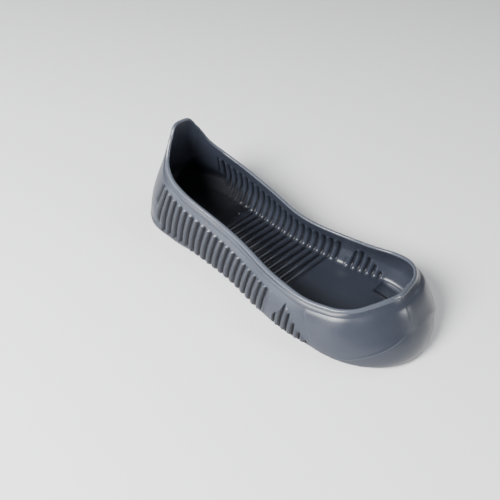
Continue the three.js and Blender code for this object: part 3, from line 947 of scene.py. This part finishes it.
big = (BLOCK_LENGTH, BLOCK_WIDTH, SLOT)
small = (SMALL_LENGTH, SMALL_WIDTH, SMALL_SLOT)
heel_zone = HEEL_TREAD_END - HEEL_BLOCKS_LONG * BLOCK_LENGTH
toe_zone = TOE_TREAD_START + TOE_BLOCKS_LONG * BLOCK_LENGTH
heel_small = math.ceil(heel_zone / SMALL_LENGTH)
toe_small = math.ceil((SHOE_LENGTH - toe_zone) / SMALL_LENGTH)
cells = np.concatenate([
    block_cells(heel_zone - heel_small * SMALL_LENGTH, heel_small, *small, toe=False),
    block_cells(heel_zone, HEEL_BLOCKS_LONG, *big, toe=False),
    block_cells(TOE_TREAD_START, TOE_BLOCKS_LONG, *big, toe=True),
    block_cells(toe_zone, toe_small, *small, toe=True),
])
print("tread blocks", len(cells))

# %% [markdown]
# ## Blocks with a cut
# Each block is split by a thin curved cut that opens when the sole bends. So a block is made as
# two halves, and each half is a loop of points repeated at four heights, from inside the sole
# plate down to the chamfer and the ground. One template in shares of a cell serves all blocks at
# once, and only the corners and the bow of the cut differ.

# %% Tread
TREAD_SINK = 0.6
CUT_WIDTH = 0.7
CUT_BOW = 0.12
CUT_POINTS = 7
CHAMFER = 0.35
CORNER_SHARPNESS = 6
LOOPS = np.array([
    # height, share of the chamfer
    (TREAD_HEIGHT + TREAD_SINK, 0.0),
    (CHAMFER, 0.0),
    (0.1, 0.72),
    (0.0, 1.0),
])


def half_blocks(cells, rear):
    """A loop round half a block: across its straight end and back along the bowed cut, at four heights."""
    across = np.linspace(0.0, 1.0, CUT_POINTS)
    length = (cells[:, 1] - cells[:, 0])[:, None]
    width = (cells[:, 4] - cells[:, 2])[:, None]
    turned = np.where(cells[:, 6] % 2 == 0, 1.0, -1.0)[:, None]
    bow = turned * CUT_BOW * (1 - (2 * across[None, :] - 1) ** 2)
    gap = CUT_WIDTH / 2 / length
    cut = 0.5 + bow + (-gap if rear else gap)
    end = np.zeros_like(cut) if rear else np.ones_like(cut)
    u = np.concatenate([end, cut[:, ::-1]], 1)
    v = np.broadcast_to(np.concatenate([across, across[::-1]]), u.shape)
    inwards_u = CHAMFER / length * np.sign(u - u.mean(1, keepdims=True))
    inwards_v = CHAMFER / width * np.clip((v - 0.5) * CORNER_SHARPNESS, -1, 1)
    inset = LOOPS[None, :, 1, None]
    u = u[:, None] - inset * inwards_u[:, None]
    v = v[:, None] - inset * inwards_v[:, None]
    corner = cells[:, None, None, :]
    x = corner[..., 0] + u * length[:, None]
    low = corner[..., 2] + u * (corner[..., 3] - corner[..., 2])
    high = corner[..., 4] + u * (corner[..., 5] - corner[..., 4])
    height = np.broadcast_to(LOOPS[None, :, 0, None], x.shape)
    return np.stack([x, low + v * (high - low), height], -1)


def block_faces(count, corners):
    """Sides between the four loops, and strips of quads for the top and the ground."""
    loop = np.arange(corners)
    side = np.stack([loop, (loop + 1) % corners, (loop + 1) % corners + corners, loop + corners], 1)
    levels = np.arange(len(LOOPS) - 1)[:, None, None] * corners
    sides = (side[None] + levels).reshape(-1, 4)
    step = np.arange(corners // 2 - 1)
    lid = np.stack([step, step + 1, corners - 2 - step, corners - 1 - step], 1)
    faces = np.concatenate([sides, lid[:, ::-1], lid + (len(LOOPS) - 1) * corners])
    return (faces[None] + np.arange(count)[:, None, None] * len(LOOPS) * corners).reshape(-1, 4)


rear_half = half_blocks(cells, True)
front_half = half_blocks(cells, False)
rear_faces = block_faces(len(cells), rear_half.shape[2])
front_faces = block_faces(len(cells), front_half.shape[2])[:, ::-1] + rear_half.size // 3
tread_points = np.concatenate([rear_half.reshape(-1, 3), front_half.reshape(-1, 3)])
tread_faces = np.concatenate([rear_faces, front_faces])
tread = make_piece("tread", tread_points + SHIFT, tread_faces, False)
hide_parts("overshoe")

# %% [markdown]
# ## Sums in a shader
# A material's pattern is a little arithmetic on numbers that change over the surface. Placing a
# Math node for every sum hides what is meant, so a small class wraps a socket and lets Python's
# own signs add the nodes. Colours are only mixed, because a Math node turns a colour grey.

# %% Shader sums
class Value:
    """A number or a colour inside a shader; sums and products of numbers become Math nodes."""

    def __init__(self, tree, socket=None):
        """A value without a socket only starts other nodes."""
        self.tree = tree
        self.socket = socket

    def node(self, kind, output=0, settings=None, **inputs):
        """Any node: its type, its settings and its inputs by name; returns one output as a value."""
        made = self.tree.nodes.new(kind)
        for key, setting in (settings or {}).items():
            setattr(made, key, setting)
        for key, given in inputs.items():
            numbered = key[0] == "i" and key[1:].isdigit()
            socket = made.inputs[int(key[1:]) if numbered else key.replace("_", " ")]
            if isinstance(given, Value):
                self.tree.links.new(given.socket, socket)
            else:
                socket.default_value = given
        return Value(self.tree, made.outputs[output])

    def math(self, operation, *others):
        """One Math node with this operation on the values or numbers given."""
        numbered = {f"i{k}": other for k, other in enumerate(others)}
        return self.node("ShaderNodeMath", settings={"operation": operation}, **numbered)

    def __add__(self, other):
        return self.math("ADD", self, other)

    __radd__ = __add__

    def __sub__(self, other):
        return self.math("SUBTRACT", self, other)

    def __rsub__(self, other):
        return self.math("SUBTRACT", other, self)

    def __mul__(self, other):
        return self.math("MULTIPLY", self, other)

    def clamp(self):
        """The value kept between 0 and 1."""
        return self.node("ShaderNodeClamp", Value=self)

    def noise(self, scale, detail):
        """Cloudy noise at the place that this value holds, with so many clouds to a metre."""
        return self.node("ShaderNodeTexNoise", Vector=self, Scale=scale, Detail=detail)

    def mix(self, first, second):
        """The first colour where this value is 0 and the second where it is 1."""
        return self.node("ShaderNodeMix", output=2, settings={"data_type": "RGBA"},
                         i0=self, i6=first, i7=second)


# %% [markdown]
# ## Rubber
# The compound is coloured right through, so the colour hardly changes. What the eye reads is the
# shine: a smooth, slightly waxy skin with a fine grain from the mould. Grooves hold dust and are
# painted darker as shade and duller, as are the ribbed wall, the dimple and the heel's floor. The ribs'
# ends and the lip are rubbed smoother and painted lighter as a highlight, and the heel's floor is matt.
# All this follows the relief that the skin carries, where 1 is a rib's crest, more than 1 is rubbed
# with a painted highlight, below 0 is dust with painted shade and below -2.4 is matt. Painted masks
# would show the same, but they
# would have to be painted again for every change of shape.

# %% Rubber material
DARK_RUBBER = (0.020, 0.023, 0.033, 1.0)
LIGHT_RUBBER = (0.031, 0.036, 0.050, 1.0)
# Colour of the painted shade in grooves, on the ribbed wall, in the dimple and on the heel's floor.
SHADE_RUBBER = (0.006, 0.007, 0.011, 1.0)
# Colour of the painted highlight on the lip and the ribs' ends.
HIGHLIGHT_RUBBER = (0.062, 0.070, 0.088, 1.0)
CLOUDS, CLOUD_DEPTH = 9.0, 0.7
PATCHES, PATCH_DEPTH = 55.0, 0.25
GRAINS = 1500.0
DUST_AND_SHADE_STRENGTH = 0.7
RUBBED_HIGHLIGHT_FROM = 1.0
MATT_FROM = -2.4
ROUGHNESS = 0.33
ROUGHER_PATCHES, ROUGHER_DUST, ROUGHER_MATT, SMOOTHER_WORN = 0.14, 0.14, 0.4, 0.1
GRAIN_SHARE, PATCH_SHARE = 0.6, 0.4
BUMP_STRENGTH, BUMP_HEIGHT = 0.16, 0.0004
SHINE = 0.43


def rubber_material():
    """Colour and roughness as sums of noise and relief, and a fine grain as a bump."""
    material = bpy.data.materials.new("rubber")
    material.use_nodes = True
    tree = material.node_tree
    shader = tree.nodes["Principled BSDF"]
    start = Value(tree)
    spot = start.node("ShaderNodeTexCoord", output="Object")
    relief = start.node("ShaderNodeAttribute", output="Fac", settings={"attribute_name": "relief"})
    clouds = spot.noise(CLOUDS, 2.0)
    grain = spot.noise(GRAINS, 2.0)
    patches = spot.noise(PATCHES, 3.0)
    lightness = (clouds - 0.5) * CLOUD_DEPTH + 0.5 + (patches - 0.5) * PATCH_DEPTH
    # Below 0 the relief paints shade: darker and duller rubber in grooves, on the ribbed wall, in the dimple
    # and on the heel's floor.
    dust_and_shade = (0.0 - relief * DUST_AND_SHADE_STRENGTH).clamp()
    # Above 1 the relief paints a highlight on the lip and the ribs' ends, where the rubber is also smoother.
    rubbed_and_highlight = (relief - RUBBED_HIGHLIGHT_FROM).clamp()
    matt = (MATT_FROM - relief).clamp()
    colour = lightness.clamp().mix(DARK_RUBBER, LIGHT_RUBBER)
    colour = rubbed_and_highlight.mix(dust_and_shade.mix(colour, SHADE_RUBBER), HIGHLIGHT_RUBBER)
    roughness = ROUGHNESS + (patches - 0.5) * ROUGHER_PATCHES + dust_and_shade * ROUGHER_DUST
    roughness = roughness + matt * ROUGHER_MATT - rubbed_and_highlight * SMOOTHER_WORN
    height = grain * GRAIN_SHARE + patches * PATCH_SHARE
    bump = start.node("ShaderNodeBump", Strength=BUMP_STRENGTH, Distance=BUMP_HEIGHT, Height=height)
    tree.links.new(colour.socket, shader.inputs["Base Color"])
    tree.links.new(roughness.socket, shader.inputs["Roughness"])
    tree.links.new(bump.socket, shader.inputs["Normal"])
    shader.inputs["Specular IOR Level"].default_value = SHINE
    return material


rubber = rubber_material()
moulding.data.materials.append(rubber)
tread.data.materials.append(rubber)
print("rubber on", moulding.name, "and", tread.name)

# %% [markdown]
# ## The studio
# The overshoe stands on a pale floor with no edge in sight, under an even, weak light from all
# round. A curved backdrop would hide the horizon too, but the camera looks down and never sees it.

# %% Floor
FLOOR_SIZE = 6.0
FLOOR_COLOUR = (0.93, 0.93, 0.93, 1.0)
FLOOR_ROUGHNESS = 0.6
FLOOR_SHINE = 0.2
WORLD_COLOUR = (1.0, 1.0, 1.0, 1.0)
WORLD_STRENGTH = 0.2


def make_floor():
    """One square on the ground, in the middle of the frame."""
    mesh = bpy.data.meshes.new("floor")
    half = FLOOR_SIZE / 2
    corners = [(-half, -half, 0), (half, -half, 0), (half, half, 0), (-half, half, 0)]
    mesh.from_pydata(corners, [], [(0, 1, 2, 3)])
    floor = bpy.data.objects.new("floor", mesh)
    bpy.context.scene.collection.objects.link(floor)
    material = bpy.data.materials.new("floor")
    material.use_nodes = True
    shader = material.node_tree.nodes["Principled BSDF"]
    shader.inputs["Base Color"].default_value = FLOOR_COLOUR
    shader.inputs["Roughness"].default_value = FLOOR_ROUGHNESS
    shader.inputs["Specular IOR Level"].default_value = FLOOR_SHINE
    mesh.materials.append(material)


make_floor()
world = bpy.data.worlds.new("studio")
world.use_nodes = True
background = world.node_tree.nodes["Background"]
background.inputs["Color"].default_value = WORLD_COLOUR
background.inputs["Strength"].default_value = WORLD_STRENGTH
bpy.context.scene.world = world
print("floor", FLOOR_SIZE, "metres wide")

# %% [markdown]
# ## Light and camera
# The key light hangs above the lateral side and does most of the work. A low card beside it draws
# the bright line along the band under the rim, a small light ahead of the toe puts the gloss
# beside the front seam, and a high one on the medial side opens the shade. One strong sun would
# give harder shade than a studio has. The camera stands by the toe and looks down on the open foot.

# %% Lights
LIGHTS = {
    # name: (place in metres, size in metres, power in watts, colour)
    "key": ((-0.06, -1.18, 0.84), 0.6, 62.0, (1.0, 1.0, 1.0)),
    "card": ((-0.75, -1.25, 0.14), 0.9, 18.0, (0.80, 0.88, 1.0)),
    "front": ((1.13, 0.49, 0.40), 0.08, 4.4, (1.0, 1.0, 1.0)),
    "top": ((0.40, 0.95, 1.50), 0.8, 9.0, (0.92, 0.96, 1.0)),
}
LIT_POINT = Vector((0.0, 0.0, 0.03))
LIGHT_RIGHT = Vector((1.0, 0.1, 0.0))


def aim(thing, ahead, right):
    """Turns a thing so that its minus Z points ahead and its X to the right."""
    ahead = ahead.normalized()
    right = (right - right.dot(ahead) * ahead).normalized()
    up = right.cross(ahead)
    turned = Matrix((right, up, -ahead)).transposed().to_4x4()
    thing.matrix_world = Matrix.Translation(thing.location) @ turned


for name, (spot, size, power, colour) in LIGHTS.items():
    lamp = bpy.data.lights.new(name, "AREA")
    lamp.shape = "DISK"
    lamp.size = size
    lamp.energy = power
    lamp.color = colour
    light = bpy.data.objects.new(name, lamp)
    light.location = spot
    aim(light, LIT_POINT - Vector(spot), LIGHT_RIGHT)
    bpy.context.scene.collection.objects.link(light)
print("lights placed", len(LIGHTS))

# %% Camera
CAMERA_PLACE = Vector((226.7, -325.7, 364.0)) * MM
CAMERA_RIGHT = Vector((0.7211, 0.6871, 0.0885))
CAMERA_AHEAD = Vector((-0.4727, 0.5815, -0.6621))
CAMERA_LENS = 42.52
SENSOR_WIDTH = 36.0

camera_data = bpy.data.cameras.new("camera")
camera_data.lens = CAMERA_LENS
camera_data.sensor_width = SENSOR_WIDTH
camera = bpy.data.objects.new("camera", camera_data)
camera.location = CAMERA_PLACE
aim(camera, CAMERA_AHEAD, CAMERA_RIGHT)
bpy.context.scene.collection.objects.link(camera)
bpy.context.scene.camera = camera
print("camera", round(CAMERA_PLACE.length, 2), "metres away")
